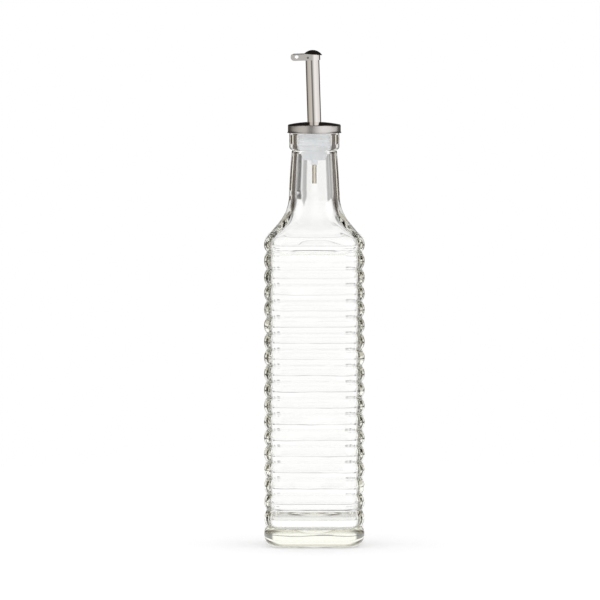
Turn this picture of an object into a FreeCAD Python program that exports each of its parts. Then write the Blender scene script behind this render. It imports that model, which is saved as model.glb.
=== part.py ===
"""Ribbed glass oil bottle with a pourer, in millimetres.

A square bottle of clear glass with rounded corners, ringed by ribs, with a tapered shoulder and a
round neck. A plastic stopper with sealing fins plugs the neck. It carries a domed metal cap, a
steel spout tube and a thin breather tube. A flap shuts the spout: its lid and its thumb lever are
one pressing, which swings on a pin through the tube and falls shut by its own weight.

Frame: +Z up, origin at the middle of the base, on the surface that the bottle stands on.
The lever of the flap points to -X, and the bottle is poured towards +X.
"""
import FreeCAD, Part
import math
import os

from FreeCAD import Placement, Rotation, Vector

# --- glass: body -----------------------------------------------------------------------------
body_width = 61.0            # flat to flat, over the crests of the ribs
body_corner_radius = 13.5    # in plan, at the crests
rib_count = 17               # full ribs between the base ring and the shoulder
rib_pitch = 9.753            # groove to groove, of all but the top rib
top_rib_height = 10.4        # the top rib is a little taller
groove_depth = 1.9           # crest to the bottom of a groove
base_ring_height = 12.7      # up to the lowest groove
base_crest_drop = 4.6        # from the lowest groove down to the base ring's crest
shoulder_crest_rise = 4.35   # from the top groove up to the shoulder's crest
heel_radius = 7.8            # outside, where the sides turn under
body_wall = 3.7              # at a crest
inner_rib_depth = 0.7        # how much of the ribs shows on the inside of the glass
floor_thickness = 9.0
floor_fillet_radius = 7.5    # inside, between floor and walls
least_slab_corner = 1.0      # plan radius that is left inside the floor's fillet
punt_diameter = 43.0         # hollow under the base
punt_depth = 5.5

# --- glass: shoulder, neck and finish --------------------------------------------------------
shoulder_height = 29.4       # from the shoulder's crest to the root of the neck
shoulder_round = 7.0         # outline radius, where the body turns into the slope
neck_sweep = 26.0            # outline radius, where the slope turns into the neck
neck_root_radius = 15.4
neck_waist_radius = 13.7     # narrowest, just below the finish
neck_bow = 0.15              # how far the neck's side stands out from a straight cone
waist_drop = 0.6             # from the waist up to the finish
neck_height = 27.1           # from the root to the finish
neck_root_wall = 3.4
finish_radius = 15.2         # the thick band round the mouth
finish_height = 12.6
finish_underside_radius = 2.2
bore_radius = 10.6           # mouth of the bottle
rim_round = 1.2

# --- stopper ---------------------------------------------------------------------------------
flange_thickness = 2.6       # rests on the rim, under the cap
fin_height = 0.9             # how far a fin would stand out of the plug, up to the bore
plug_length = 18.5           # rim to the lower end
plug_taper_length = 7.0
plug_end_radius = 6.7
fin_count = 3
fin_pitch = 3.3
fin_first_drop = 3.2         # rim to the first fin
fin_thickness = 1.1
fin_squeeze_gap = 0.05       # fin to bore
well_radius = 5.6            # open lower end, round the breather's hub
well_depth = 5.9
hub_radius = 2.0
hub_overhang = 3.0           # how far the hub stands out below the plug
spoke_count = 3
spoke_width = 0.9
spoke_step = 0.6             # the spokes stop this far above the plug's end

# --- cap -------------------------------------------------------------------------------------
cap_sheet = 0.4
cap_clearance = 0.45         # skirt to finish
cap_seat_gap = 0.15          # underside of the crown to the edge of the flange
crown_radius = 76.0          # the shallow dome
cap_corner_radius = 1.0
cap_skirt_drop = 4.25        # from the corner's centre to the lower edge
lip_width = 0.4              # rolled lower edge, proud of the skirt
lip_height = 0.9
cap_hole_clearance = 0.1

# --- spout and breather ----------------------------------------------------------------------
spout_radius = 4.175
spout_wall = 0.4
spout_length = 40.8          # from the crown of the cap to the mouth, along the axis
spout_lean = 1.8             # degrees towards -X, as the plastic holds it
mouth_slant = 6.5            # degrees, lower towards +X
spout_fit = 0.05             # radial, tube in stopper
ledge_width = 0.575          # of the stopper's ledge that the tube stands on
ledge_thickness = 2.0
breather_radius = 1.4
breather_bore = 0.9
breather_fit = 0.03
breather_reach = 14.3        # below the plug

# --- flap and pin ----------------------------------------------------------------------------
flap_sheet = 0.35
flap_swing_gap = 0.25        # strap to tube
lid_overhang = 1.325         # brim outside the tube, all round
lid_height = 2.65
lid_sheet = 0.5
lid_shift = 0.6              # lid centre, from the tube's axis towards +X
lid_lift = 0.14              # brim above the cut of the mouth, on the tube's axis
strap_drop = 3.4             # from the mouth on the axis to the strap's lower edge
lever_height = 4.3
lever_length = 8.925         # from the side of the tube to the end of the lever
lever_bend = 0.8             # outside radius along the lever's upper edges
lever_hole_diameter = 2.4
lever_hole_inset = 3.6       # from the lever's end
pin_radius = 0.6
pin_running_gap = 0.05
pin_inset = 1.425            # from the side of the tube, at the lever's side
pin_height = 1.61            # above the strap's lower edge
pin_proud = 0.15             # at each side of the strap
strap_tail = 2.0             # the strap's sides run this far past the pin, into the lever

# --- working allowances ----------------------------------------------------------------------
beyond = 60.0                # a cutting tool reaches this far, right through what it cuts
buried = 0.5                 # a fin or spoke starts this far inside the wall that carries it

# --- places worked out from the sizes --------------------------------------------------------
body_half = body_width / 2.0
inner_half = body_half - body_wall
inner_corner_radius = body_corner_radius - body_wall
floor_fillet = min(floor_fillet_radius, inner_corner_radius - least_slab_corner)
groove_heights = [base_ring_height + index * rib_pitch for index in range(rib_count)]
groove_heights.append(groove_heights[-1] + top_rib_height)
top_groove_z = groove_heights[-1]
shoulder_z = top_groove_z + shoulder_crest_rise
neck_root_z = shoulder_z + shoulder_height
finish_z = neck_root_z + neck_height
rim_z = finish_z + finish_height
flange_radius = finish_radius
plug_radius = bore_radius - fin_height
flange_top_z = rim_z + flange_thickness
cap_inner_radius = finish_radius + cap_clearance
crown_drop_at_flange = crown_radius - math.sqrt(crown_radius**2 - flange_radius**2)
crown_z = flange_top_z + cap_seat_gap + cap_sheet + crown_drop_at_flange
plug_end_z = rim_z - plug_length
ledge_z = plug_end_z + well_depth + ledge_thickness
ledge_radius = spout_radius - ledge_width
mouth_z = crown_z + spout_length
lid_radius = spout_radius + lid_overhang
lever_reach = spout_radius + lever_length
strap_z = mouth_z - strap_drop
strap_inner_radius = spout_radius + flap_swing_gap
strap_outer_radius = strap_inner_radius + flap_sheet
pin_x = pin_inset - spout_radius
pin_z = strap_z + pin_height


# --- helpers ---------------------------------------------------------------------------------
def at(x, z):
    """A point of an outline, in the upright plane through the axis."""
    return Vector(x, 0.0, z)


def line(start, end):
    return Part.LineSegment(start, end).toShape()


def arc(start, middle, end):
    return Part.Arc(start, middle, end).toShape()


def turned(edges):
    """The solid that a closed outline makes when it turns round the axis."""
    face = Part.Face(Part.Wire(edges))
    return face.revolve(Vector(0, 0, 0), Vector(0, 0, 1), 360)


def polyline(points):
    """Straight edges through the points, not closed."""
    return [line(a, b) for a, b in zip(points, points[1:])]


def tube(outer, inner, z_low, z_high):
    """A round tube on the axis."""
    height = z_high - z_low
    outside = Part.makeCylinder(outer, height, at(0, z_low))
    return outside.cut(Part.makeCylinder(inner, height, at(0, z_low)))


def leaned(shape):
    """The shape turned with the spout, about the middle of the cap's crown."""
    lean = Placement(Vector(0, 0, 0), Rotation(Vector(0, 1, 0), -spout_lean), at(0, crown_z))
    shape = shape.copy()
    shape.Placement = lean.multiply(shape.Placement)
    return shape


# --- glass bottle ----------------------------------------------------------------------------
def rounded_square(half, corner, side_angle, z):
    """A square with round corners as eight edges: four sides and four corners.

    With side_angle 0 the sides are straight. With more, each side is a shallow arc that turns
    through twice that angle and runs smoothly into the corners, up to a full circle where the
    corner radius has grown to the half width.
    """
    edges = []
    turn = math.radians(side_angle)
    share = math.cos(turn) - math.sin(turn)
    if side_angle == 0:
        centre = half - corner
    else:
        side_radius = (half - share * corner) / (1.0 - share)
        centre = (side_radius - corner) * math.sin(turn)
    corner_start = Vector(centre + corner * math.cos(turn), centre + corner * math.sin(turn), z)
    corner_middle = Vector(centre + corner * math.sqrt(0.5), centre + corner * math.sqrt(0.5), z)
    corner_end = Vector(corner_start.y, corner_start.x, z)
    side_start = Vector(corner_start.x, -corner_start.y, z)
    if side_angle == 0:
        side = line(side_start, corner_start)
    else:
        side = arc(side_start, Vector(half, 0, z), corner_start)
    quarter = [side, arc(corner_start, corner_middle, corner_end)]
    for step in range(4):
        for edge in quarter:
            piece = edge.copy()
            piece.rotate(Vector(0, 0, 0), Vector(0, 0, 1), 90 * step)
            edges.append(piece)
    return Part.Wire(edges)


def rib_x(z, crest_x, crest_z, depth, rise):
    """How far out a round rib reaches at height z: depth lower at a height of rise from its crest."""
    radius = (rise**2 + depth**2) / (2.0 * depth)
    return crest_x - radius + math.sqrt(radius**2 - (z - crest_z) ** 2)


def half_rib(crest_x, crest_z, end_z, depth):
    """The outline of one half of a rib, from its crest to the groove at end_z."""
    rise = abs(end_z - crest_z)
    middle_z = (crest_z + end_z) / 2.0
    middle = at(rib_x(middle_z, crest_x, crest_z, depth, rise), middle_z)
    return arc(at(crest_x, crest_z), middle, at(crest_x - depth, end_z))


def ribs(crest_x, depth, grooves):
    """The outline of whole ribs, one above the other, between the heights of the grooves."""
    edges = []
    for low, high in zip(grooves, grooves[1:]):
        crest = at(crest_x, (low + high) / 2.0)
        edges.append(arc(at(crest_x - depth, low), crest, at(crest_x - depth, high)))
    return edges


def body_wall_ring():
    """Base ring and ribbed wall: one outline carried round the rounded square."""
    slab_edge = inner_half - floor_fillet
    heel_x = body_half - heel_radius
    heel_middle = at(heel_x + heel_radius * math.sqrt(0.5), heel_radius * (1.0 - math.sqrt(0.5)))
    base_crest_z = base_ring_height - base_crest_drop
    fillet_x = inner_half - floor_fillet * (1.0 - math.sqrt(0.5))
    fillet_middle = at(fillet_x, floor_thickness + floor_fillet * (1.0 - math.sqrt(0.5)))
    inner_grooves = groove_heights[2:]
    inner_start_z = inner_grooves[0] - rib_pitch / 2.0

    outside = [line(at(slab_edge, 0), at(heel_x, 0))]
    outside.append(arc(at(heel_x, 0), heel_middle, at(body_half, heel_radius)))
    outside.append(line(at(body_half, heel_radius), at(body_half, base_crest_z)))
    outside.append(half_rib(body_half, base_crest_z, base_ring_height, groove_depth))
    outside += ribs(body_half, groove_depth, groove_heights)
    outside.append(half_rib(body_half, shoulder_z, top_groove_z, groove_depth))
    top = line(at(body_half, shoulder_z), at(inner_half, shoulder_z))

    inside = [half_rib(inner_half, shoulder_z, top_groove_z, inner_rib_depth)]
    inside += ribs(inner_half, inner_rib_depth, inner_grooves)
    inside.append(half_rib(inner_half, inner_start_z, inner_grooves[0], inner_rib_depth))
    wall_foot = at(inner_half, floor_thickness + floor_fillet)
    inside.append(line(at(inner_half, inner_start_z), wall_foot))
    inside.append(arc(wall_foot, fillet_middle, at(slab_edge, floor_thickness)))
    close = line(at(slab_edge, floor_thickness), at(slab_edge, 0))

    outline = Part.Wire(Part.__sortEdges__(outside + [top] + inside + [close]))
    path = rounded_square(body_half, body_corner_radius, 0, 0)
    sweep = Part.BRepOffsetAPI.MakePipeShell(path)
    sweep.setBiNormalMode(Vector(0, 0, 1))
    sweep.add(outline)
    sweep.build()
    sweep.makeSolid()
    return sweep.shape()


def shoulder_outline():
    """Points (half width, z) up the shoulder: a round, a straight slope, and the neck's sweep."""
    fall = body_half - neck_root_radius
    widest_rounds = (shoulder_height**2 + fall**2) / (2.0 * fall)    # they would leave no slope
    sweep = min(neck_sweep, 0.9 * (widest_rounds - shoulder_round))
    rounds = shoulder_round + sweep
    straight = math.sqrt(shoulder_height**2 + (rounds - fall) ** 2 - rounds**2)
    slope = math.atan2(shoulder_height, rounds - fall) - math.atan2(straight, rounds)
    points = []
    for share in (0.0, 0.25, 0.5, 0.75, 1.0):
        turn = share * slope
        x = body_half - shoulder_round * (1.0 - math.cos(turn))
        points.append((x, shoulder_z + shoulder_round * math.sin(turn)))
    end_x, end_z = points[-1]
    for share in (1 / 3, 2 / 3):
        along = share * straight
        points.append((end_x - along * math.sin(slope), end_z + along * math.cos(slope)))
    for share in (1.0, 0.75, 0.5, 0.25, 0.0):
        turn = share * slope
        x = neck_root_radius + sweep * (1.0 - math.cos(turn))
        points.append((x, neck_root_z - sweep * math.sin(turn)))
    return points


def shoulder_skin(inset_at_body, inset_at_neck):
    """A lofted solid from the body's rounded square to the neck's circle."""
    full_side_angle = 20.0
    sections = []
    for half, z in shoulder_outline():
        share = (body_half - half) / (body_half - neck_root_radius)
        inset = inset_at_body + share * (inset_at_neck - inset_at_body)
        corner = body_corner_radius + share * (neck_root_radius - body_corner_radius)
        sections.append(rounded_square(half - inset, corner - inset, share * full_side_angle, z))
    return Part.makeLoft(sections, True, False)


def neck():
    """The neck with the thick band of the finish, turned in one."""
    inner_root = neck_root_radius - neck_root_wall
    waist_z = finish_z - waist_drop
    middle_z = (neck_root_z + waist_z) / 2.0
    middle_x = (neck_root_radius + neck_waist_radius) / 2.0 + neck_bow
    under = finish_underside_radius
    under_middle_x = finish_radius - under * (1.0 - math.sqrt(0.5))
    under_middle = at(under_middle_x, finish_z + under * (1.0 - math.sqrt(0.5)))
    rim_middle_x = finish_radius - rim_round * (1.0 - math.sqrt(0.5))
    rim_middle = at(rim_middle_x, rim_z - rim_round * (1.0 - math.sqrt(0.5)))
    edges = [line(at(inner_root, neck_root_z), at(neck_root_radius, neck_root_z))]
    edges.append(arc(at(neck_root_radius, neck_root_z), at(middle_x, middle_z),
                     at(neck_waist_radius, waist_z)))
    edges.append(line(at(neck_waist_radius, waist_z), at(finish_radius - under, finish_z)))
    edges.append(arc(at(finish_radius - under, finish_z), under_middle,
                     at(finish_radius, finish_z + under)))
    edges.append(line(at(finish_radius, finish_z + under), at(finish_radius, rim_z - rim_round)))
    edges.append(arc(at(finish_radius, rim_z - rim_round), rim_middle,
                     at(finish_radius - rim_round, rim_z)))
    edges += polyline([at(finish_radius - rim_round, rim_z), at(bore_radius, rim_z),
                       at(bore_radius, waist_z), at(inner_root, neck_root_z)])
    return turned(edges)


def glass_bottle():
    slab_edge = inner_half - floor_fillet
    slab_corner = inner_corner_radius - floor_fillet
    slab = Part.Face(rounded_square(slab_edge, slab_corner, 0, 0))
    slab = slab.extrude(Vector(0, 0, floor_thickness))
    shoulder = shoulder_skin(0.0, 0.0).cut(shoulder_skin(body_wall, neck_root_wall))
    glass = body_wall_ring().fuse([slab, shoulder, neck()]).removeSplitter()
    punt_radius = ((punt_diameter / 2.0) ** 2 + punt_depth**2) / (2.0 * punt_depth)
    punt = Part.makeSphere(punt_radius, at(0, punt_depth - punt_radius))
    return glass.cut(punt)


# --- stopper ---------------------------------------------------------------------------------
def stopper():
    """Flange, finned plug, ledge for the tube, and a hub on spokes for the breather."""
    taper_z = plug_end_z + plug_taper_length
    well_top_z = plug_end_z + well_depth
    outline = [at(0, flange_top_z), at(flange_radius, flange_top_z), at(flange_radius, rim_z),
               at(plug_radius, rim_z), at(plug_radius, taper_z), at(plug_end_radius, plug_end_z),
               at(well_radius, plug_end_z), at(well_radius, well_top_z), at(0, well_top_z),
               at(0, flange_top_z)]
    body = turned(polyline(outline))
    fin_radius = bore_radius - fin_squeeze_gap
    fin_root_radius = plug_radius - buried
    fins = []
    for index in range(fin_count):
        low = rim_z - fin_first_drop - index * fin_pitch
        high = low + fin_thickness
        corners = [at(fin_root_radius, low), at(plug_radius, low),
                   at(fin_radius, low + 0.5 * fin_thickness), at(fin_radius, low + 0.8 * fin_thickness),
                   at(plug_radius, high), at(fin_root_radius, high), at(fin_root_radius, low)]
        fins.append(turned(polyline(corners)))
    hub_low_z = plug_end_z - hub_overhang
    fins.append(Part.makeCylinder(hub_radius, well_top_z - hub_low_z, at(0, hub_low_z)))
    for index in range(spoke_count):
        spoke = Part.makeBox(well_radius + buried, spoke_width, well_depth - spoke_step,
                             Vector(0, -spoke_width / 2.0, plug_end_z + spoke_step))
        spoke.rotate(Vector(0, 0, 0), Vector(0, 0, 1), 360.0 * index / spoke_count)
        fins.append(spoke)
    body = body.fuse(fins).removeSplitter()
    socket = leaned(Part.makeCylinder(spout_radius + spout_fit, beyond, at(0, ledge_z)))
    throat = Part.makeCylinder(ledge_radius, beyond, at(0, well_top_z))
    breather_hole = Part.makeCylinder(breather_radius + breather_fit, beyond, at(0, hub_low_z))
    return body.cut([socket, throat, breather_hole])


# --- cap -------------------------------------------------------------------------------------
def cap():
    """Domed crown, rounded corner, straight skirt and a rolled lip, pressed from one sheet."""
    outer = cap_inner_radius + cap_sheet
    corner_x = outer - cap_corner_radius
    dome_z = crown_z - crown_radius
    corner_z = dome_z + math.sqrt((crown_radius - cap_corner_radius) ** 2 - corner_x**2)
    tilt = math.asin(corner_x / (crown_radius - cap_corner_radius))
    lip_z = corner_z - cap_skirt_drop

    def on_crown(radius, angle):
        return at(radius * math.sin(angle), dome_z + radius * math.cos(angle))

    def on_corner(radius, angle):
        return at(corner_x + radius * math.sin(angle), corner_z + radius * math.cos(angle))

    inner_crown = crown_radius - cap_sheet
    inner_corner = cap_corner_radius - cap_sheet
    corner_turn = (tilt + math.pi / 2.0) / 2.0
    lip_x = outer + lip_width
    edges = [arc(on_crown(crown_radius, 0), on_crown(crown_radius, tilt / 2.0),
                 on_crown(crown_radius, tilt))]
    edges.append(arc(on_crown(crown_radius, tilt), on_corner(cap_corner_radius, corner_turn),
                     at(outer, corner_z)))
    edges += polyline([at(outer, corner_z), at(outer, lip_z + lip_height)])
    edges.append(arc(at(outer, lip_z + lip_height), at(lip_x - 0.05, lip_z + 0.65 * lip_height),
                     at(lip_x, lip_z + 0.3 * lip_height)))
    edges += polyline([at(lip_x, lip_z + 0.3 * lip_height), at(lip_x - 0.15, lip_z),
                       at(cap_inner_radius, lip_z), at(cap_inner_radius, corner_z)])
    edges.append(arc(at(cap_inner_radius, corner_z), on_corner(inner_corner, corner_turn),
                     on_crown(inner_crown, tilt)))
    edges.append(arc(on_crown(inner_crown, tilt), on_crown(inner_crown, tilt / 2.0),
                     on_crown(inner_crown, 0)))
    edges.append(line(on_crown(inner_crown, 0), on_crown(crown_radius, 0)))
    hole = Part.makeCylinder(spout_radius + cap_hole_clearance, beyond, at(0, crown_z - beyond / 2.0))
    return turned(edges).cut(leaned(hole))


# --- spout, breather and pin -----------------------------------------------------------------
def below_slant(height, half_size):
    """A block with a slanted top that crosses the tube's axis at the given height."""
    corner = Vector(-half_size, -half_size, -spout_length - beyond)
    block = Part.makeBox(2 * half_size, 2 * half_size, spout_length + beyond, corner)
    block.Placement = Placement(at(0, height), Rotation(Vector(0, 1, 0), mouth_slant))
    return block


def spout():
    blank = tube(spout_radius, spout_radius - spout_wall, ledge_z, mouth_z + spout_radius)
    blank = blank.common(below_slant(mouth_z, 3 * spout_radius))
    pin_hole = Part.makeCylinder(pin_radius, 4 * spout_radius,
                                 Vector(pin_x, -2 * spout_radius, pin_z), Vector(0, 1, 0))
    return leaned(blank.cut(pin_hole))


def breather():
    top_z = plug_end_z + well_depth
    return tube(breather_radius, breather_bore, plug_end_z - breather_reach, top_z)


def hinge_pin():
    half_length = strap_outer_radius + pin_proud
    pin = Part.makeCylinder(pin_radius, 2 * half_length, Vector(pin_x, -half_length, pin_z),
                            Vector(0, 1, 0))
    return leaned(pin)


# --- flap ------------------------------------------------------------------------------------
def lid_dome(radius, brim):
    """The filled dome of the lid: part of a ball above the slanted brim plane."""
    ball_drop = lid_ball_radius() - lid_height
    ball = Part.makeSphere(radius, Vector(0, 0, -ball_drop))
    keep = Part.makeCylinder(brim, 2 * lid_height, Vector(0, 0, 0))
    return ball.common(keep)


def lid_ball_radius():
    return (lid_radius**2 + lid_height**2) / (2.0 * lid_height)


def seat_on_mouth(shape):
    """Brings a shape from the lid's own frame, with its brim at z = 0, onto the spout."""
    slant = math.radians(mouth_slant)
    brim_z = mouth_z + lid_lift - lid_shift * math.tan(slant)
    shape = shape.copy()
    shape.Placement = Placement(at(lid_shift, brim_z), Rotation(Vector(0, 1, 0), mouth_slant))
    return shape


def strap_band(height):
    """The strap in plan: round the front of the tube, with two straight legs beside it."""
    def half_moon(radius, reach):
        disc = Part.makeCylinder(radius, height, at(0, strap_z))
        legs = Part.makeBox(reach, 2 * radius, height, Vector(-reach, -radius, strap_z))
        return disc.fuse(legs)
    return half_moon(strap_outer_radius, strap_tail - pin_x).cut(
        half_moon(strap_inner_radius, 2 * lever_reach))


def lever():
    """An upturned channel with a round end, beside and behind the tube."""
    half = strap_outer_radius
    top_z = strap_z + lever_height
    root_x = -spout_radius - flap_swing_gap
    length = lever_reach + root_x
    outside = Part.makeBox(length, 2 * half, lever_height, Vector(-lever_reach, -half, strap_z))
    upper = [edge for edge in outside.Edges
             if abs(edge.BoundBox.ZMin - top_z) < 1e-6 and edge.BoundBox.XLength > length / 2.0]
    outside = outside.makeFillet(lever_bend, upper)
    inside_half = half - flap_sheet
    inside = Part.makeBox(length + 2 * buried, 2 * inside_half, lever_height,
                          Vector(-lever_reach - buried, -inside_half, strap_z - flap_sheet))
    under = [edge for edge in inside.Edges
             if abs(edge.BoundBox.ZMin - (top_z - flap_sheet)) < 1e-6 and edge.BoundBox.XLength > length]
    inside = inside.makeFillet(lever_bend - flap_sheet, under)
    end_radius = lever_height / 2.0
    end = Part.makeCylinder(end_radius, 4 * half, Vector(end_radius - lever_reach, -2 * half,
                                                         strap_z + end_radius), Vector(0, 1, 0))
    rest = Part.makeBox(lever_reach, 4 * half, lever_height,
                        Vector(end_radius - lever_reach, -2 * half, strap_z))
    return outside.cut(inside).common(end.fuse(rest))


def flap():
    """Lid, strap and lever as one pressing, with the pin's holes and the lever's hole."""
    ball_radius = lid_ball_radius()
    shell = seat_on_mouth(lid_dome(ball_radius, 2 * lid_radius)
                          .cut(lid_dome(ball_radius - lid_sheet, 2 * lid_radius)))
    middle = seat_on_mouth(lid_dome(ball_radius - lid_sheet / 2.0, 2 * lid_radius))
    band = strap_band(3 * lid_height + strap_drop)
    brim_z = mouth_z + lid_lift
    below_lid = below_slant(brim_z, 4 * lid_radius)
    band = band.common(below_lid.fuse(middle))
    whole = shell.fuse([band, lever()]).removeSplitter()
    through = 4 * strap_outer_radius
    pin_hole = Part.makeCylinder(pin_radius + pin_running_gap, through,
                                 Vector(pin_x, -through / 2.0, pin_z), Vector(0, 1, 0))
    hole_x = lever_hole_inset - lever_reach
    lever_hole = Part.makeCylinder(lever_hole_diameter / 2.0, through,
                                   Vector(hole_x, -through / 2.0, strap_z + lever_height / 2.0),
                                   Vector(0, 1, 0))
    return leaned(whole.cut([pin_hole, lever_hole]))


def write(name, shape):
    """Checks that the piece is one sound solid and writes its file."""
    solids = shape.Solids
    if len(solids) != 1 or not solids[0].isValid():
        raise RuntimeError(f"{name}: {len(solids)} solids, valid {[s.isValid() for s in solids]}")
    solids[0].exportStep(f"parts/{name}.step")
    box = solids[0].BoundBox
    print(f"{name}: {solids[0].Volume / 1000.0:.3f} cm3, z {box.ZMin:.2f} to {box.ZMax:.2f},",
          f"x {box.XMin:.2f} to {box.XMax:.2f}, {len(solids[0].Faces)} faces")


os.makedirs("parts", exist_ok=True)
write("glass_bottle", glass_bottle())
write("stopper", stopper())
write("cap", cap())
write("spout", spout())
write("breather", breather())
write("hinge_pin", hinge_pin())
write("flap", flap())
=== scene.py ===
# %% [markdown]
# # A ribbed oil bottle with a steel pourer
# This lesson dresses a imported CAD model. The bottle is pressed glass: a square body with round
# corners, seventeen full ribs, a shoulder and a round neck. A soft plastic stopper sits in the
# neck and holds a domed steel cap, a steel spout and a thin breather tube. A flap with a thumb
# lever shuts the spout. The model comes in as a fixed frame. The glass, the cap and the spout are
# built again as smooth meshes in the same place, because clear glass and polished steel show
# every facet. The other four pieces keep their own meshes and get materials.

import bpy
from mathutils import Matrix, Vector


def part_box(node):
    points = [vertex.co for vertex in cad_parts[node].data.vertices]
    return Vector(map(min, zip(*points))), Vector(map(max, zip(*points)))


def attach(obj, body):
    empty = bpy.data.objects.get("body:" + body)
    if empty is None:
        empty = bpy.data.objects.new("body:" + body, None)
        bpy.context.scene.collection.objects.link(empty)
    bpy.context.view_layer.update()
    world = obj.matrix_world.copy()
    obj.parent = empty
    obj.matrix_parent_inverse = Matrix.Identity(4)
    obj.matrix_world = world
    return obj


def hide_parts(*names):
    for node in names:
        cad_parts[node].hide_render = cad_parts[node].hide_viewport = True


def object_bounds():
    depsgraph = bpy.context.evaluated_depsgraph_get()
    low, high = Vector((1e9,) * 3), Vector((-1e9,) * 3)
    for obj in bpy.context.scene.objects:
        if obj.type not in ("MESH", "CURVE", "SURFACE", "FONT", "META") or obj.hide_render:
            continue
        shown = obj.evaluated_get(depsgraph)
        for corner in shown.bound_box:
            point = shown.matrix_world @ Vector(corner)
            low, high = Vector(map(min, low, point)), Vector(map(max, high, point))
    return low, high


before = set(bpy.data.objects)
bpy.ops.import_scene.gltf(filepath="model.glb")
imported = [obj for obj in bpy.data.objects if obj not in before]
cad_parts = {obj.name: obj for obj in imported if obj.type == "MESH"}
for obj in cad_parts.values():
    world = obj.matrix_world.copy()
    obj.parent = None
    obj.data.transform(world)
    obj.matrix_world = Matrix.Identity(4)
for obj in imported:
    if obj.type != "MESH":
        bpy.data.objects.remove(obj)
cad_low, cad_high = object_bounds()
print("CAD box", [round(value, 5) for value in (*cad_low, *cad_high)])

# %% Blender's modules
import bpy
import math
from mathutils import Vector, noise

# %% [markdown]
# ## Units, and two small tools
# A maker thinks of this bottle in millimetres, so every size below is in millimetres. One
# function turns a list of points and faces into a Blender mesh, and only there do they become
# metres. Smooth shading is on from the start: the meshes are dense enough that the light runs
# evenly over them, and the edges that look sharp are small rounds with rings of their own.

# %% A mesh from points and faces
MM = 0.001


def mesh_piece(name, points, faces, materials, face_slots=None):
    """An object from points in millimetres, shaded smooth, with its materials in order."""
    mesh = bpy.data.meshes.new(name)
    mesh.from_pydata([Vector(point) * MM for point in points], [], faces)
    mesh.polygons.foreach_set("use_smooth", [True] * len(mesh.polygons))
    for material in materials:
        mesh.materials.append(material)
    if face_slots:
        mesh.polygons.foreach_set("material_index", face_slots)
    mesh.update()
    piece = bpy.data.objects.new(name, mesh)
    bpy.context.scene.collection.objects.link(piece)
    print(f"{name}: {len(points)} points, {sum(len(face) - 2 for face in faces)} triangles")
    return piece


# %% [markdown]
# Most of the pieces are rings of points, one above the other, skinned with four-sided faces. That
# serves a turned piece, such as the cap, and the bottle as well, whose rings change from a rounded
# square to a circle. A stack of rings is closed by a point at each end, or end to end on itself.

# %% Rings skinned into a surface
def skin(rings, low_point=None, high_point=None, loop=False):
    """Points and faces of a surface through the rings, which all have as many points."""
    count = len(rings[0])
    points = [point for ring in rings for point in ring]
    pairs = list(zip(range(len(rings) - 1), range(1, len(rings))))
    if loop:
        pairs.append((len(rings) - 1, 0))
    faces = []
    for low, high in pairs:
        for step in range(count):
            beside = (step + 1) % count
            faces.append((low * count + step, low * count + beside,
                          high * count + beside, high * count + step))
    for tip, row, turn in ((low_point, 0, -1), (high_point, len(rings) - 1, 1)):
        if tip is not None:
            points.append(tip)
            for step in range(count):
                edge = (row * count + step, row * count + (step + 1) % count)
                faces.append((*edge[::turn], len(points) - 1))
    return points, faces


# %% [markdown]
# ## Materials
# A colour is written as the hex value that a painter would pick, which is sRGB. The renderer
# works in linear light, so one function converts. One more function adds a node to a material,
# with its options, its values and its links, so that each material below reads as a list.

# %% Colour and node helpers
def linear(hex_colour):
    """A linear RGBA colour from an sRGB hex string."""
    channels = [int(hex_colour[start:start + 2], 16) / 255.0 for start in (0, 2, 4)]
    return [c / 12.92 if c <= 0.04045 else ((c + 0.055) / 1.055) ** 2.4 for c in channels] + [1.0]


def add_node(tree, kind, inputs, **options):
    """A new node: its options, then each input as a value or as a link from a socket."""
    node = tree.nodes.new(kind)
    for option, value in options.items():
        setattr(node, option, value)
    for socket, value in inputs.items():
        if isinstance(value, bpy.types.NodeSocket):
            tree.links.new(value, node.inputs[socket])
        else:
            node.inputs[socket].default_value = value
    return node


def empty_material(name):
    """A material with nothing in its tree but the output node, and that tree."""
    material = bpy.data.materials.new(name)
    material.use_nodes = True
    material.node_tree.nodes.clear()
    output = material.node_tree.nodes.new("ShaderNodeOutputMaterial")
    return material, material.node_tree, output


# %% [markdown]
# ### Pressed soda-lime glass
# The bottle is cheap clear glass, blown and pressed in an iron mould. Soda-lime glass has an index
# of refraction of about 1.5. Iron in the sand gives it a weak tint, which shows only where light
# runs a long way through it: at the rim, in the base and along the edges. A coloured surface would
# tint all of it alike, so the tint is a volume: on 60 mm of its way, light loses a ninth of its
# blue and a thirtieth of the rest. The mould's skin leaves the surface not quite flat, which a
# weak and broad bump gives.

# %% Soda-lime glass
ripple_mm, ripple_height_mm = 9.0, 0.1
tint_colour, tint_density = [0.95, 0.95, 0.83, 1.0], 12.0
glass, tree, output = empty_material("pressed_soda_lime_glass")
place = add_node(tree, "ShaderNodeTexCoord", {})
ripple = add_node(tree, "ShaderNodeTexNoise", {"Vector": place.outputs["Object"],
                                               "Scale": 1.0 / (ripple_mm * MM),
                                               "Detail": 2.0})
bump = add_node(tree, "ShaderNodeBump", {"Height": ripple.outputs[0], "Strength": 0.25,
                                         "Distance": ripple_height_mm * MM})
surface = add_node(tree, "ShaderNodeBsdfPrincipled",
                   {"Base Color": linear("ffffff"), "Roughness": 0.0, "IOR": 1.5,
                    "Transmission Weight": 1.0, "Normal": bump.outputs[0]})
tint = add_node(tree, "ShaderNodeVolumeAbsorption", {"Color": tint_colour,
                                                     "Density": tint_density})
tree.links.new(surface.outputs[0], output.inputs["Surface"])
tree.links.new(tint.outputs[0], output.inputs["Volume"])
print(f"{glass.name}: ripples {ripple_mm} mm long")

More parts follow.
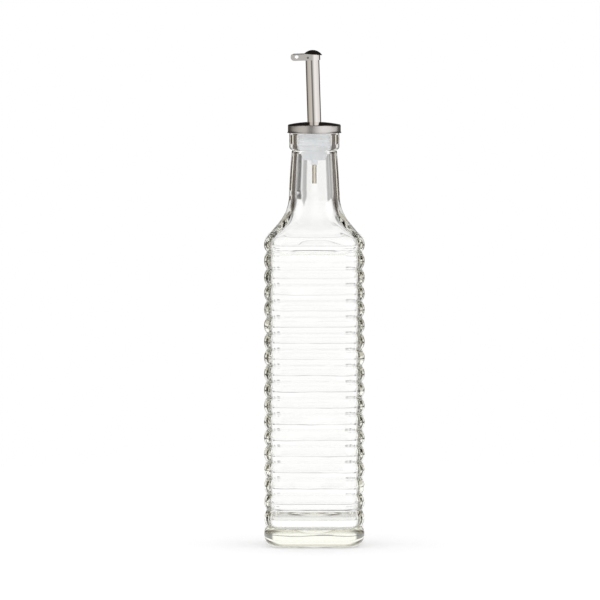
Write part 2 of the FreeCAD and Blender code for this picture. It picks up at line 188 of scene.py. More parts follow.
# %% [markdown]
# ### Low-density polyethylene
# The stopper is injection moulded from milky polyethylene. Light enters it and comes out all over,
# so it looks soft and slightly blue beside the warm glass. Scattering in a volume would do that,
# slowly. Here a surface with the soft gloss of a moulding is mixed with a little of a translucent
# one. The glass round the stopper leads light into it from all sides, more than the few bounces of
# a render bring, so the surface also gives off a little light of its own.

# %% Polyethylene
stopper_plastic, tree, output = empty_material("moulded_polyethylene")
cloud_mm, stopper_glow = 5.0, 0.22
place = add_node(tree, "ShaderNodeTexCoord", {})
cloud = add_node(tree, "ShaderNodeTexNoise", {"Vector": place.outputs["Object"],
                                              "Scale": 1.0 / (cloud_mm * MM), "Detail": 1.0})
milk = add_node(tree, "ShaderNodeMix", {"Factor": cloud.outputs[0], "A": linear("e4ebf3"),
                                        "B": linear("f1f5f9")}, data_type="RGBA")
body = add_node(tree, "ShaderNodeBsdfPrincipled",
                {"Base Color": milk.outputs["Result"], "Roughness": 0.38, "IOR": 1.51,
                 "Emission Color": linear("fdf6ee"), "Emission Strength": stopper_glow})
glow = add_node(tree, "ShaderNodeBsdfTranslucent", {"Color": milk.outputs["Result"]})
blend = add_node(tree, "ShaderNodeMixShader", {0: 0.12, 1: body.outputs[0], 2: glow.outputs[0]})
tree.links.new(blend.outputs[0], output.inputs["Surface"])

# %% [markdown]
# ### Extruded clear tube
# The breather is a length of clear plastic tube. It bends light as the glass does, but its wall
# was pushed out through a die, which leaves it a little dull and uneven. So it gets the same kind
# of surface with a roughness that wanders, and a tenth of it is plain and slightly warm.

# %% Clear tube
haze_mm = 2.0
breather_plastic, tree, output = empty_material("extruded_clear_tube")
place = add_node(tree, "ShaderNodeTexCoord", {})
haze = add_node(tree, "ShaderNodeTexNoise", {"Vector": place.outputs["Object"],
                                             "Scale": 1.0 / (haze_mm * MM), "Detail": 2.0})
dull = add_node(tree, "ShaderNodeMapRange", {"Value": haze.outputs[0],
                                             "To Min": 0.04, "To Max": 0.16})
surface = add_node(tree, "ShaderNodeBsdfPrincipled",
                   {"Base Color": linear("fffaf0"), "Roughness": dull.outputs[0], "IOR": 1.48,
                    "Transmission Weight": 0.9})
tree.links.new(surface.outputs[0], output.inputs["Surface"])


# %% [markdown]
# ### Stainless steel: brushed, polished, and a pin painted dark
# The cap and the pourer are stainless steel, a grey metal with a little warmth. The skirt of the
# cap was brushed as it spun, so its scratches run round it. The crown, the spout and the flap are
# polished, and they mirror the room. The pin is a piece of cut wire, with dull ends, and its colour
# is a much darker grey than the other two: that is painted shade, for the dark dot where the flap
# meets the tube. A roughness alone would look like plastic, so all three come from one function
# that adds fine scratches.
# Real scratches are about 0.05 mm apart, too fine to show here, so the brushed ones are drawn four
# times as coarse, and where the first two scales are small they stretch out along x and y.

# %% Steel
scratch_depth_mm = 0.02


def steel(name, colour, roughness, scratch, scratch_mm, along):
    """Stainless steel with fine scratches, long in the directions where along is small."""
    material, tree, output = empty_material(name)
    place = add_node(tree, "ShaderNodeTexCoord", {})
    lay = add_node(tree, "ShaderNodeMapping", {"Vector": place.outputs["Object"], "Scale": along})
    lines = add_node(tree, "ShaderNodeTexNoise", {"Vector": lay.outputs[0],
                                                  "Scale": 1.0 / (scratch_mm * MM), "Detail": 3.0})
    spread = add_node(tree, "ShaderNodeMapRange", {"Value": lines.outputs[0],
                                                   "To Min": roughness * 0.8,
                                                   "To Max": roughness * 1.2})
    bump = add_node(tree, "ShaderNodeBump", {"Height": lines.outputs[0], "Strength": scratch,
                                             "Distance": scratch_depth_mm * MM})
    surface = add_node(tree, "ShaderNodeBsdfPrincipled",
                       {"Base Color": linear(colour), "Metallic": 1.0,
                        "Roughness": spread.outputs[0], "Normal": bump.outputs[0]})
    tree.links.new(surface.outputs[0], output.inputs["Surface"])
    return material


satin_steel = steel("brushed_stainless_steel", "dcd8d5", 0.3, 0.35, 0.2, (0.08, 0.08, 1.0))
mirror_steel = steel("polished_stainless_steel", "ebe6e1", 0.07, 0.05, 0.6, (1.0, 1.0, 1.0))
# The pin's steel is painted a dark grey: painted shade for the dark dot where the flap meets the
# tube.
dark_painted_pin_steel = steel("steel_wire_painted_dark", "8a8078", 0.35, 0.2, 0.1, (1.0, 1.0, 1.0))

# %% [markdown]
# ## The glass bottle
# A glass maker draws two outlines, the outside and the inside, and the light depends on both. The
# rings of this mesh climb the outside from the hollow in the base to the rim, turn over the rim
# and go down the inside to the floor. Each ring is a square with round corners, whose sides bow
# out more and more up the shoulder until it is a circle at the root of the neck.

# %% Sizes of the body
_, glass_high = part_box("glass_bottle")
body_half = glass_high.x / MM
rim_z = glass_high.z / MM
body_corner = 13.5
wall = 3.7
inner_half = body_half - wall
inner_corner = 5.0
print(f"body {2 * body_half:.1f} mm wide, rim at {rim_z:.1f} mm")

# %% Heights, counted down from the rim
finish_height = 12.6
neck_height = 27.1
shoulder_height = 29.4
finish_z = rim_z - finish_height
root_z = finish_z - neck_height
shoulder_z = root_z - shoulder_height
print(f"band from {finish_z:.1f} mm, neck from {root_z:.1f} mm, shoulder from {shoulder_z:.1f} mm")

# %% [markdown]
# A ring could be a plain square for the body and a circle for the neck, but then the two wouldn't
# join. So each side of the ring is an arc too, and its bow says how far it turns: none on the
# body, and 20 degrees to each side of its middle on the neck, where side and corner make one
# circle. Every ring has the same number of points in the same order, so any two of them skin.

# %% One ring of the bottle
side_steps = 14
corner_steps = 18
full_bow = 20.0


def bottle_ring(half, corner, bow, z):
    """A square with round corners; with a bow in degrees, its sides turn through twice that."""
    turn = math.radians(bow)
    share = math.cos(turn) - math.sin(turn)
    quarter = []
    if bow < 0.01:
        reach = half - corner
        turn = 0.0
        quarter = [(half, reach * (2.0 * step / side_steps - 1.0)) for step in range(side_steps)]
    else:
        side = (half - share * corner) / (1.0 - share)
        reach = (side - corner) * math.sin(turn)
        for step in range(side_steps):
            angle = turn * (2.0 * step / side_steps - 1.0)
            quarter.append((half - side + side * math.cos(angle), side * math.sin(angle)))
    for step in range(corner_steps):
        angle = turn + (math.pi / 2.0 - 2.0 * turn) * step / corner_steps
        quarter.append((reach + corner * math.cos(angle), reach + corner * math.sin(angle)))
    ring = []
    for cos, sin in ((1, 0), (0, 1), (-1, 0), (0, -1)):
        ring += [(x * cos - y * sin, x * sin + y * cos, z) for x, y in quarter]
    return ring


def body_rings(outline):
    """Rings round the body for an outline of (half width, z): every one parallel to the crest."""
    return [bottle_ring(x, body_corner - (body_half - x), 0.0, z) for x, z in outline]


def inner_rings(outline):
    """Rings inside the body, whose corners shrink with them."""
    return [bottle_ring(x, inner_corner * x / inner_half, 0.0, z) for x, z in outline]


def round_rings(outline):
    """Circles, with their points where the rings of the bottle have theirs."""
    return [bottle_ring(radius, radius, full_bow, z) for radius, z in outline]


# %% [markdown]
# The wall is a row of round ribs with a groove between each two. In the mould the grooves are
# ridges that wear, so a groove in the glass is never sharp: a small fillet joins one rib to the
# next. The same function makes the inside, where only a soft echo of the ribs is left. The ribs
# are shape and not bump, because the outline of the bottle shows them.

# %% An arc of an outline
def arc(centre, radius, start, end, steps):
    """Points (x, z) along an arc, with its angles in degrees and both its ends."""
    angles = [math.radians(start + (end - start) * step / steps) for step in range(steps + 1)]
    return [(centre[0] + radius * math.cos(a), centre[1] + radius * math.sin(a)) for a in angles]


# %% Heights of the grooves and of the crests between them
base_ring = 12.7
even_ribs = 16
rib_pitch = 9.753
top_rib = 10.4
base_crest_drop = 4.6
shoulder_crest_rise = 4.35
grooves = [base_ring + index * rib_pitch for index in range(even_ribs + 1)]
grooves.append(grooves[-1] + top_rib)
crests = [grooves[0] - base_crest_drop]
crests += [(low + high) / 2.0 for low, high in zip(grooves, grooves[1:])]
crests += [grooves[-1] + shoulder_crest_rise]
shoulder_gap = crests[-1] - shoulder_z
print(f"{len(grooves)} grooves, last crest {abs(shoulder_gap):.2f} mm from the shoulder")

# %% Ribs
groove_depth, groove_round = 1.9, 0.6
inner_rib_depth, inner_groove_round = 0.7, 3.0
groove_steps = 4


def ribbed_outline(crest_x, depth, fillet, crest_heights, groove_heights, steps):
    """(half width, z) up a wall of round ribs, from the first crest to the last."""
    outline = [(crest_x, crest_heights[0])]
    for groove, low, high in zip(groove_heights, crest_heights, crest_heights[1:]):
        for crest, side in ((low, 1), (high, -1)):
            rise = abs(groove - crest)
            radius = (rise**2 + depth**2) / (2.0 * depth)
            centre = crest_x - radius
            reach = math.degrees(math.asin(rise / (radius + fillet)))
            rib = arc((centre, crest), radius, 0.0, side * reach, steps)
            if side > 0:
                outline += rib[1:]
                fillet_x = centre + math.sqrt((radius + fillet) ** 2 - rise**2)
                outline += arc((fillet_x, groove), fillet, 180.0 + reach, 180.0 - reach,
                               groove_steps)[1:-1]
            else:
                outline += rib[::-1]
    return outline


outer_wall = ribbed_outline(body_half, groove_depth, groove_round, crests, grooves, steps=7)
inner_wall = ribbed_outline(inner_half, inner_rib_depth, inner_groove_round,
                            crests[2:-1], grooves[2:-1], steps=4)
inner_wall.append((inner_half, crests[-1]))


# %% [markdown]
# The shoulder leaves the body in a round, runs straight, and sweeps into the neck. Its slope
# follows from the two radii and from where it starts and ends, so it is worked out and not typed.
# A subdivided cage would give a soft shoulder too, but not one with known radii.

# %% Outline of the shoulder
shoulder_round = 7.0
neck_sweep = 26.0
root_radius = 15.4
shoulder_steps = 9


def shoulder_outline(steps):
    """(half width, z) from the crest of the shoulder to the root of the neck."""
    fall = body_half - root_radius
    rounds = shoulder_round + neck_sweep
    straight = math.sqrt(shoulder_height**2 + (rounds - fall) ** 2 - rounds**2)
    slope = math.atan2(shoulder_height, rounds - fall) - math.atan2(straight, rounds)
    low = arc((body_half - shoulder_round, shoulder_z), shoulder_round,
              0.0, math.degrees(slope), steps)
    high = arc((root_radius + neck_sweep, root_z), neck_sweep,
               180.0 + math.degrees(slope), 180.0, steps)
    (x0, z0), (x1, z1) = low[-1], high[0]
    middle = [(x0 + (x1 - x0) * step / steps, z0 + (z1 - z0) * step / steps)
              for step in range(1, steps)]
    return low + middle + high


# %% Rings of the shoulder
def shoulder_rings(outline, start_corner, body_inset, neck_inset):
    """Rings from the body's rounded square to the neck's circle, set in by the wall."""
    rings = []
    for half, z in outline:
        share = (body_half - half) / (body_half - root_radius)
        inset = body_inset + share * (neck_inset - body_inset)
        corner = start_corner + share * (root_radius - neck_inset - start_corner)
        rings.append(bottle_ring(half - inset, corner, share * full_bow, z))
    return rings


# %% [markdown]
# The neck narrows to a waist, then the glass flares into the thick band round the mouth. That
# band is what the cap's skirt goes round. Above it the rim is rounded on both sides, as fire
# polishing leaves it. A neck is a turned form, so its rings are circles on one outline.

# %% Outside of the neck and the band
waist_radius = 13.7
waist_drop = 0.6
neck_bow = 0.15
undercut, undercut_drop = 0.35, 0.25
finish_radius = 15.2
finish_under = 2.2
band_step = 3.0
rim_round = 1.2
waist_z = finish_z - waist_drop


def neck_side(steps):
    """(radius, z) up the outside of the neck: a parabola that stands out by the bow."""
    outline = []
    for step in range(1, steps + 1):
        share = step / steps
        straight = root_radius + share * (waist_radius - root_radius)
        outline.append((straight + 4.0 * neck_bow * share * (1.0 - share),
                        root_z + share * (waist_z - root_z)))
    return outline


neck_outside = neck_side(20)
neck_outside += [(waist_radius - undercut, finish_z - undercut_drop)]
neck_outside += arc((finish_radius - finish_under, finish_z + finish_under), finish_under,
                    -90.0, 0.0, 8)
neck_outside += [(finish_radius, finish_z + finish_under + count * band_step) for count in (1, 2)]
neck_outside += arc((finish_radius - rim_round, rim_z - rim_round), rim_round, 0.0, 90.0, 8)

# %% Bore of the neck
bore_radius = 10.6
bore_round = 0.6
root_wall = 3.4
bore_steps = 14
root_bore = root_radius - root_wall
neck_inside = arc((bore_radius + bore_round, rim_z - bore_round), bore_round, 90.0, 180.0, 5)
neck_inside += [(bore_radius, rim_z - drop) for drop in (4.0, 8.0, 11.0)]
neck_inside += [(bore_radius + (root_bore - bore_radius) * step / bore_steps,
                 waist_z + (root_z - waist_z) * step / bore_steps) for step in range(bore_steps)]
print(f"bore {2 * bore_radius:.1f} mm at the mouth, {2 * root_bore:.1f} mm at the root")

# %% [markdown]
# The base stands on a flat land round a shallow hollow, the punt, which keeps the bottle from
# rocking. The floor inside is thick and turns up into the walls with a wide fillet. The punt is
# part of a ball, so its outline comes from the ball's radius. Cutting it out with a boolean would
# leave thin triangles that glass shows as flaws, and rings leave none.

# %% Underside
punt_radius = 21.5
punt_depth = 5.5
punt_edge = 0.5
punt_steps = 14
heel_round = 7.8
punt_ball = (punt_radius**2 + punt_depth**2) / (2.0 * punt_depth)
punt = []
for step in range(1, punt_steps + 1):
    radius = punt_radius * step / punt_steps
    punt.append((radius, punt_depth - punt_ball + math.sqrt(punt_ball**2 - radius**2)))
land = [(punt_radius + punt_edge, 0.0)]
heel = arc((body_half - heel_round, heel_round), heel_round, -90.0, 0.0, 12)
print(f"punt from a ball of {punt_ball:.1f} mm radius")

# %% Floor inside
floor_z = 9.0
floor_round = 7.5
floor_half = inner_half - floor_round
floor_fillet = arc((floor_half, floor_z + floor_round), floor_round, 0.0, -90.0, 12)
floor_rings = [bottle_ring(half, half / 2.0, full_bow * (1.0 - half / floor_half), floor_z)
               for half in (15.0, 11.0, 7.0, 3.0)]

# %% [markdown]
# No pressed bottle is even inside: air blew the glass against the mould, and the inner surface
# kept the flow of it. Those slow waves are what break the reflections up, so they are real shape
# and not bump. They only ever move a point towards the axis, so the outside stays within its
# sizes. The noise is a fixed function of the place, so it is the same at each run.

# %% Waves in the glass
wave_mm = 16.0
wave_stretch = 0.7
fine_wave_length, fine_wave_share = 0.4, 0.5
inner_wave_height = 0.22
outer_wave_height = 0.05


def waved(rings, height):
    """The rings with each point moved towards the axis a little, as far as the noise says."""
    moved = []
    for ring in rings:
        row = []
        for x, y, z in ring:
            spot = Vector((x, y, z * wave_stretch))
            swell = noise.noise(spot / wave_mm)
            swell += fine_wave_share * noise.noise(spot / (fine_wave_length * wave_mm))
            reach = math.hypot(x, y)
            share = 1.0 - height * max(0.0, 0.5 + swell) / reach
            row.append((x * share, y * share, z))
        moved.append(row)
    return moved


# %% [markdown]
# Now the outlines are laid end to end: the outside from the punt to the rim, then the inside from
# the rim to the floor. Glass has to be one closed skin with its faces turned outwards, because the
# renderer follows where a ray enters and where it leaves. The outside alone would be a block of
# solid glass, and would bend the light like one. To a lamp, glass is a wall in a path tracer, so
# the bottle is left out of its shadows. That way the lamp reaches the stopper, and the table gets
# only the faint shade of the room's light that the glass turns aside.

# %% Rings of the outside
shoulder = shoulder_outline(shoulder_steps)[1:]
outside_rings = round_rings(punt + land) + body_rings(heel)
outside_rings += waved(body_rings(outer_wall) + shoulder_rings(shoulder, body_corner, 0.0, 0.0),
                       outer_wave_height)
outside_rings += round_rings(neck_outside)

# %% Rings of the inside
plain_wall = [(inner_half, z) for z in (crests[2] - 4.0, floor_z + 12.0)]
inside_rings = waved(shoulder_rings(shoulder[::-1], inner_corner, wall, root_wall)
                     + inner_rings(inner_wall[::-1]), inner_wave_height)
inside_rings += inner_rings(plain_wall + floor_fillet) + floor_rings

# %% The glass as one closed mesh
rings = outside_rings + round_rings(neck_inside) + inside_rings
points, faces = skin(rings, (0.0, 0.0, punt_depth), (0.0, 0.0, floor_z))
bottle = mesh_piece("bottle_of_glass", points, faces, [glass])
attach(bottle, "bottle")
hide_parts("glass_bottle")
bottle.visible_shadow = False

# %% [markdown]
# ## The cap
# A press draws the cap from one round of sheet: a shallow dome, a tight corner, a straight skirt,
# and a lip that is rolled out so that the lower edge can't cut. Its section is one closed line
# that turns round the axis. The crown keeps the polish of the sheet, and the skirt is brushed.
# A solidify modifier would thicken a single sheet, but it would round neither lip nor corner.

# %% Sizes of the cap
crown_radius = 76.0
cap_sheet = 0.4
cap_outer = 16.05
cap_corner = 1.0
skirt_drop = 4.25
lip_bead, lip_flare, lip_reach = 0.28, 0.05, 0.12
flange_thickness = 2.6
cap_seat_gap = 0.15
hole_radius = 4.275
flange_drop = crown_radius - math.sqrt(crown_radius**2 - finish_radius**2)
crown_z = rim_z + flange_thickness + cap_seat_gap + cap_sheet + flange_drop
dome_z = crown_z - crown_radius
corner_x = cap_outer - cap_corner
corner_z = dome_z + math.sqrt((crown_radius - cap_corner) ** 2 - corner_x**2)
tilt = math.degrees(math.asin(corner_x / (crown_radius - cap_corner)))
lip_z = corner_z - skirt_drop
cap_inner = cap_outer - cap_sheet
hole_turn = math.degrees(math.asin(hole_radius / crown_radius))
print(f"crown at {crown_z:.2f} mm, lip at {lip_z:.2f} mm")

# %% The cap's section
crown = arc((0.0, dome_z), crown_radius, 90.0 - hole_turn, 90.0 - tilt, 14)
skirt = arc((corner_x, corner_z), cap_corner, 90.0 - tilt, 0.0, 8)[1:]
skirt += [(cap_outer, corner_z - drop) for drop in (1.2, 2.4, 3.3)]
skirt += [(cap_outer + lip_flare, lip_z + 2.6 * lip_bead)]
skirt += arc((cap_outer + lip_reach, lip_z + lip_bead), lip_bead, 70.0, -100.0, 8)
inside = [(cap_inner, lip_z + height) for height in (0.1, 1.6, 3.2)]
inside += arc((corner_x, corner_z), cap_corner - cap_sheet, 0.0, 90.0 - tilt, 5)
inside += arc((0.0, dome_z), crown_radius - cap_sheet, 90.0 - tilt, 90.0 - hole_turn, 8)[1:]

# %% The cap as a mesh
cap_steps = 128


def circle(radius, z, steps=96):
    """A ring of points round the axis."""
    turns = [2.0 * math.pi * step / steps for step in range(steps)]
    return [(radius * math.cos(turn), radius * math.sin(turn), z) for turn in turns]


# The section is taken backwards, so the bands between the rings of the crown come last.
cap_section = crown + skirt + inside
cap_rings = [circle(radius, z, cap_steps) for radius, z in cap_section[::-1]]
points, faces = skin(cap_rings, loop=True)
first_polished = len(skirt + inside)
slots = [1 if first_polished <= index // cap_steps < len(cap_section) - 1 else 0
         for index in range(len(faces))]
cap = mesh_piece("domed_cap", points, faces, [satin_steel, mirror_steel], slots)
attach(cap, "bottle")
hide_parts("cap")

# %% [markdown]
# ## The spout
# The spout is a length of drawn tube, cut at a slant. A cut tube has a burr, so the maker breaks
# both its edges, and the small rounds that are left catch the light. Soft plastic holds it, and
# it leans a little towards the lever: it is built upright and then turned.

# %% Sizes of the spout
spout_radius = 4.175
spout_wall = 0.4
spout_length = 40.8
mouth_slant = 6.5
spout_lean = 1.8
slant_start, slant_end = 8.0, 1.0
edge_round = 0.14
plug_length, well_depth, ledge_thickness = 18.5, 5.9, 2.0
bore = spout_radius - spout_wall
mouth_z = crown_z + spout_length
foot_z = rim_z - plug_length + well_depth + ledge_thickness
print(f"tube from {foot_z:.1f} mm to {mouth_z:.1f} mm")


# %% Slant and lean
def leaned(points):
    """Points turned with the spout, about the middle of the cap's crown."""
    turn = math.radians(-spout_lean)
    return [(x * math.cos(turn) + (z - crown_z) * math.sin(turn), y,
             crown_z + (z - crown_z) * math.cos(turn) - x * math.sin(turn)) for x, y, z in points]


def slanted(radius, z, share):
    """A ring of the tube that follows the slant of its mouth as far as share says."""
    fall = math.tan(math.radians(mouth_slant)) * share
    return [(x, y, z - x * fall) for x, y, _ in circle(radius, z)]


# %% The spout as a mesh
stations = [(spout_radius, foot_z, 0.0), (spout_radius, crown_z, 0.0),
            (spout_radius, mouth_z - slant_start, 0.0), (spout_radius, mouth_z - slant_end, 1.0)]
mouth = arc((spout_radius - edge_round, mouth_z - edge_round), edge_round, 0.0, 90.0, 5)
mouth += arc((bore + edge_round, mouth_z - edge_round), edge_round, 90.0, 180.0, 5)
stations += [(radius, z, 1.0) for radius, z in mouth]
stations += [(bore, mouth_z - slant_end, 1.0), (bore, mouth_z - slant_start, 0.0),
             (bore, foot_z, 0.0)]
points, faces = skin([slanted(*station) for station in stations], loop=True)
spout = mesh_piece("spout_tube", leaned(points), faces, [mirror_steel])
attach(spout, "bottle")
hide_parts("spout")

# %% [markdown]
# ## The pieces that stay
# The stopper, the breather, the pin and the flap have the right shape already, and the flap has to
# swing as it was made to. Building them again would win nothing, so they get their materials, and
# the edges of the flap's sheet are broken by a small bevel, as tumbling after the press does it.

# %% Materials on the CAD pieces
for name, material in (("stopper", stopper_plastic), ("breather", breather_plastic),
                       ("hinge_pin", dark_painted_pin_steel), ("flap", mirror_steel)):
    cad_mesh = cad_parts[name].data
    cad_mesh.materials.clear()
    cad_mesh.materials.append(material)
    print(f"{name}: {material.name}")

# %% Broken edges of the flap
broken_edge_mm = 0.07
flap_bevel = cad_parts["flap"].modifiers.new("broken_edges", "BEVEL")
flap_bevel.width = broken_edge_mm * MM
flap_bevel.segments = 2
flap_bevel.limit_method = "ANGLE"
flap_bevel.angle_limit = math.radians(40.0)

# %% [markdown]
# ## Floor
# The bottle stands on a white table that runs on into a white background. The table's own colour
# is a pale grey that takes the light and the shadow as they are. For the camera, and for what the
# glass and the steel show, a little light of its own lifts it to the white of the background, so
# that no edge shows where the table ends and the shadow still does. A bent backdrop would do the
# same with more shape and a horizon to hide.

# %% White table top
table_glow = 0.28
table_white, tree, output = empty_material("white_table")
path = add_node(tree, "ShaderNodeLightPath", {})
seen = add_node(tree, "ShaderNodeMath", {0: path.outputs["Is Camera Ray"],
                                         1: path.outputs["Is Glossy Ray"]}, operation="ADD")
seen = add_node(tree, "ShaderNodeMath", {0: seen.outputs[0],
                                         1: path.outputs["Is Transmission Ray"]},
                operation="ADD", use_clamp=True)
lift = add_node(tree, "ShaderNodeMath", {0: seen.outputs[0], 1: table_glow}, operation="MULTIPLY")
paint = add_node(tree, "ShaderNodeBsdfDiffuse", {"Color": linear("e7e7e7")})
shine = add_node(tree, "ShaderNodeEmission", {"Color": linear("ffffff"),
                                              "Strength": lift.outputs[0]})
both = add_node(tree, "ShaderNodeAddShader", {0: paint.outputs[0], 1: shine.outputs[0]})
tree.links.new(both.outputs[0], output.inputs["Surface"])

# %% The table as a mesh
table_radius = 600.0
table_gap = 0.02
points, faces = skin([circle(table_radius * share, 0.0) for share in (1.0, 0.5, 0.1)],
                     high_point=(0.0, 0.0, 0.0))
table = mesh_piece("table", points, faces, [table_white])
table.location.z = cad_low.z - table_gap * MM

# %% [markdown]
# ## The studio
# Clear glass and polished steel have almost no colour of their own: what they show is the room.
# Glass on white is lit from behind by a white sheet that is hardly wider than the bottle, with
# dark boards beside it, so that the edges of the glass bend the light from the boards and draw
# themselves dark. The steel mirrors a beige wall at the left, a bright window at the right, and
# the dark gap that the camera looks through. Real boards and lamps would have to be placed by
# trial and would light the table too, so all this is a picture of directions in the world: an
# azimuth round the bottle and an elevation over the horizon, both in degrees. Azimuth 0 is
# straight behind the bottle, and 180 is at the camera. What lights the matt surfaces stays plain.

# %% The world's tree
world = bpy.data.worlds.new("studio")
bpy.context.scene.world = world
world.use_nodes = True
world.cycles.sampling_method = "NONE"
tree = world.node_tree
tree.nodes.clear()


# %% Helpers for a picture of directions
def compute(operation, first, second=0.0):
    """One step of arithmetic in the studio's tree."""
    return add_node(tree, "ShaderNodeMath", {0: first, 1: second}, operation=operation).outputs[0]


def strip(value, low, high, stops):
    """A ramp of colours along a value from low to high, with each stop at a value of its own."""
    span = add_node(tree, "ShaderNodeMapRange", {"Value": value, "From Min": low, "From Max": high})
    ramp = add_node(tree, "ShaderNodeValToRGB", {0: span.outputs[0]})
    elements = ramp.color_ramp.elements
    while len(elements) < len(stops):
        elements.new(1.0)
    for element, (place, colour) in zip(elements, stops):
        element.position = (place - low) / (high - low)
        element.color = colour
    return ramp.outputs[0]


def mixed(share, first, second):
    """The first colour where share is 0, the second where it is 1."""
    return add_node(tree, "ShaderNodeMix", {"Factor": share, "A": first, "B": second},
                    data_type="RGBA").outputs["Result"]


def multiplied(first, second):
    """Two colours, one as a filter over the other."""
    return add_node(tree, "ShaderNodeMix", {"Factor": 1.0, "A": first, "B": second},
                    data_type="RGBA", blend_type="MULTIPLY").outputs["Result"]


def grey(level):
    """A colour with no hue, in linear light."""
    return (level, level, level, 1.0)


# %% Azimuth and elevation
direction = add_node(tree, "ShaderNodeTexCoord", {}).outputs["Generated"]
axes = add_node(tree, "ShaderNodeSeparateXYZ", {0: direction})
azimuth = compute("DEGREES", compute("ARCTAN2", axes.outputs["X"], axes.outputs["Y"]))
elevation = compute("DEGREES", compute("ARCSINE", axes.outputs["Z"]))
quarter = compute("SUBTRACT", compute("FLOORED_MODULO", compute("ADD", azimuth, 45.0), 90.0), 45.0)

# %% [markdown]
# ### What the glass bends into view
# Light that passes the body is bent by ten degrees at most along most of it, so a sheet that
# reaches 19 degrees to each side fills the body with white. It is a little over white, to make up
# for what each surface of the glass turns back. The neck is a stronger lens: its stripes are the
# edges of the sheet and of the boards beside it, seen two or three times. Its rays run a few
# degrees below the horizon, as the camera looks down, so a narrow band of elevations has boards of
# its own, nearer on one side than on the other. A dark bar, 10 to 14 degrees up, is what the
# grooves show as thin lines. The picture repeats in each quarter turn, as the bottle does.

# %% Sheet and boards, seen straight through the glass
white, bright = grey(1.0), grey(1.05)
beside_neck = strip(quarter, -45.0, 45.0,
                    [(-30.0, grey(0.7)), (-21.0, grey(0.33)), (-14.0, grey(0.1)),
                     (-11.0, grey(0.1)), (-9.8, grey(0.6)), (-8.6, grey(0.85)),
                     (-7.0, grey(0.55)), (-4.5, grey(0.5)), (-3.6, white), (7.8, white),
                     (9.0, grey(0.5)), (12.0, grey(0.3)), (14.0, grey(0.6)),
                     (18.0, grey(0.33)), (30.0, grey(0.7))])
beside_body = strip(quarter, -45.0, 45.0,
                    [(-24.0, grey(0.3)), (-19.0, bright), (19.0, bright), (24.0, grey(0.3))])
neck_height_only = strip(elevation, -20.0, 20.0,
                         [(-6.2, grey(0.0)), (-5.2, white), (-1.0, white), (-0.2, grey(0.0))])
dark_bar = strip(elevation, 0.0, 20.0,
                 [(8.6, white), (10.0, grey(0.7)), (11.0, grey(0.3)), (13.0, grey(0.25)),
                  (14.5, white)])
seen_through = multiplied(mixed(neck_height_only, beside_body, beside_neck), dark_bar)

# %% [markdown]
# Some rays are turned back inside the glass before they leave it, in the edges of the body, in
# the base and in the neck. They come out in all directions and would fill those places with
# white. So they see a darker room: brown boards with cream gaps at the height of the neck, and
# further up and down the brownish grey that gives a thick base its colour.

# %% The room that rays see after a turn inside the glass
deep_brown, cream = (0.12, 0.10, 0.085, 1.0), (1.0, 0.97, 0.88, 1.0)
inside_body = strip(quarter, -45.0, 45.0,
                    [(-26.0, deep_brown), (-19.0, grey(0.6)), (-10.0, bright),
                     (10.0, bright), (19.0, grey(0.6)), (26.0, deep_brown)])
inside_neck = strip(quarter, -45.0, 45.0,
                    [(-29.0, deep_brown), (-25.0, cream), (-18.0, cream), (-14.0, deep_brown),
                     (14.0, deep_brown), (18.0, cream), (25.0, cream), (29.0, deep_brown)])
floor_shade = (0.62, 0.60, 0.53, 1.0)
near_the_floor = strip(elevation, -90.0, 90.0,
                       [(-80.0, floor_shade), (-12.0, floor_shade), (-6.0, white), (6.0, white),
                        (9.0, floor_shade), (20.0, floor_shade), (26.0, white), (50.0, white),
                        (60.0, floor_shade)])
seen_inside = multiplied(mixed(neck_height_only, inside_body, inside_neck), near_the_floor)

# %% [markdown]
# ### What the steel mirrors
# A polished tube shows the whole room, squeezed into its width, so a few broad walls are enough:
# from left to right its own dark edge, the beige wall, the dark gap beside the camera, the window,
# and a dark edge again. The domes of the cap and of the flap mirror what is above and behind,
# which is black. Low down, where the table ends, the walls fade into its white.

# %% Walls round the steel
beige, beige_end = (0.68, 0.655, 0.62, 1.0), (0.6, 0.58, 0.545, 1.0)
beige_shade, dark = (0.30, 0.285, 0.26, 1.0), (0.07, 0.06, 0.055, 1.0)
walls = strip(azimuth, -180.0, 180.0,
              [(-180.0, grey(0.55)), (-173.0, grey(0.2)), (-156.0, grey(0.2)), (-147.0, beige),
               (-100.0, beige_end), (-66.0, beige_shade), (-58.0, dark), (-10.0, dark),
               (-5.0, white), (8.0, white), (13.0, dark), (58.0, dark), (66.0, grey(0.78)),
               (110.0, grey(0.95)), (150.0, bright), (180.0, grey(0.55))])
over_the_table = strip(elevation, -90.0, 90.0, [(-25.0, grey(0.0)), (-15.0, white), (90.0, white)])

# %% Black above and behind
black_cloth = (0.015, 0.013, 0.012, 1.0)
above = strip(elevation, -90.0, 90.0, [(2.0, grey(0.0)), (5.0, white)])
behind = strip(azimuth, -180.0, 180.0,
               [(-105.0, grey(0.0)), (-85.0, white), (85.0, white), (105.0, grey(0.0))])
overhead = strip(elevation, -90.0, 90.0, [(56.0, grey(0.0)), (68.0, white)])
blackness = compute("MAXIMUM", compute("MULTIPLY", above, behind), overhead)
mirrored = mixed(blackness, mixed(over_the_table, white, walls), black_cloth)

# %% [markdown]
# ### The studio put together
# The world asks what kind of ray has reached it. The camera sees plain white, a mirror sees the
# walls, and a ray from inside the glass sees the sheet and boards. Matt surfaces, also when they
# are behind glass, get plain soft light. A ray that glass has bent counts as glossy too, so the
# question about glass comes after the one about mirrors.

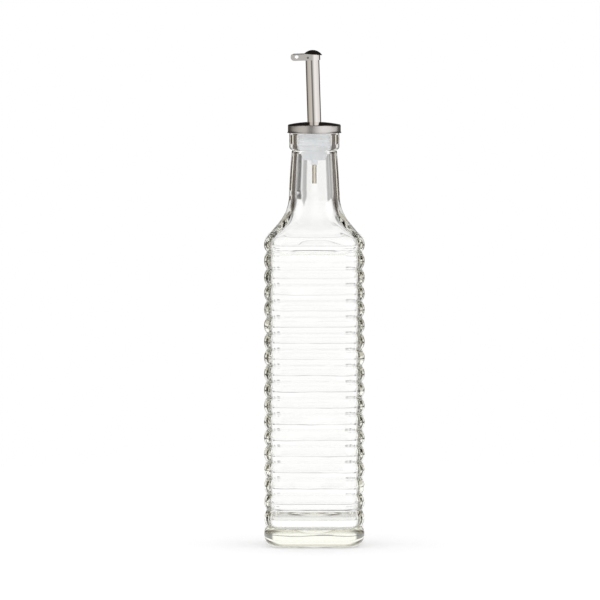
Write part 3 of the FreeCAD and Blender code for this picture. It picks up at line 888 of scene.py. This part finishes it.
# %% Which ray sees what
path = add_node(tree, "ShaderNodeLightPath", {})
matt_before = compute("GREATER_THAN", path.outputs["Diffuse Depth"], 0.5)
bounced = compute("GREATER_THAN", path.outputs["Glossy Depth"], 0.5)
through = mixed(bounced, seen_through, seen_inside)
plain_level = grey(0.9)
light = mixed(path.outputs["Is Glossy Ray"], plain_level, mirrored)
light = mixed(path.outputs["Is Transmission Ray"], light, through)
light = mixed(matt_before, light, plain_level)
light = mixed(path.outputs["Is Camera Ray"], light, white)
background = add_node(tree, "ShaderNodeBackground", {"Color": light})
sky = tree.nodes.new("ShaderNodeOutputWorld")
tree.links.new(background.outputs[0], sky.inputs["Surface"])

# %% [markdown]
# One large soft lamp stands high at the left front. It gives the stopper and the table a gentle
# direction. It is left out of mirrors and glass, where the studio above already has its lights.

# %% Lamp
lamp_data = bpy.data.lights.new("soft_box", "AREA")
lamp_data.shape = "DISK"
lamp_data.size = 1.2
lamp_data.energy = 6.0
lamp = bpy.data.objects.new("soft_box", lamp_data)
bpy.context.scene.collection.objects.link(lamp)
lamp.location = (-1.0, -1.2, 1.6)
lamp.rotation_euler = (Vector((0.0, 0.0, 0.1)) - lamp.location).to_track_quat("-Z", "Y").to_euler()
lamp.visible_glossy = False
lamp.visible_transmission = False

# %% [markdown]
# ## Camera
# A tall thin thing is best seen from far away with a long lens, so that its sides stay upright: a
# short lens close by would make the neck lean back and the base bulge. The camera looks down by
# only a few degrees. The bottle stands a little to the right of the middle of the frame.

# %% Camera
camera_distance = 5.5
camera_height = 0.505
aim = Vector((-0.0087, 0.0, 0.1489))
frame_width = 0.3644
camera_data = bpy.data.cameras.new("long_lens")
camera_data.sensor_width = 36.0
camera = bpy.data.objects.new("long_lens", camera_data)
bpy.context.scene.collection.objects.link(camera)
camera.location = (aim.x, -camera_distance, camera_height)
camera_data.lens = camera_data.sensor_width * (camera.location - aim).length / frame_width
camera_data.clip_end = 50.0
camera.rotation_euler = (aim - camera.location).to_track_quat("-Z", "Y").to_euler()
bpy.context.scene.camera = camera
print(f"lens {camera_data.lens:.0f} mm from {camera_distance} m")

# %% [markdown]
# ## Render settings that belong to the glass
# A ray that enters the wall of a bottle meets many surfaces before it leaves, so the number of
# bounces is raised. The view transform is Standard, which shows colours as they are written.

# %% Settings
cycles = bpy.context.scene.cycles
cycles.max_bounces = 32
cycles.glossy_bounces = 16
cycles.transmission_bounces = 32
bpy.context.scene.view_settings.view_transform = "Standard"
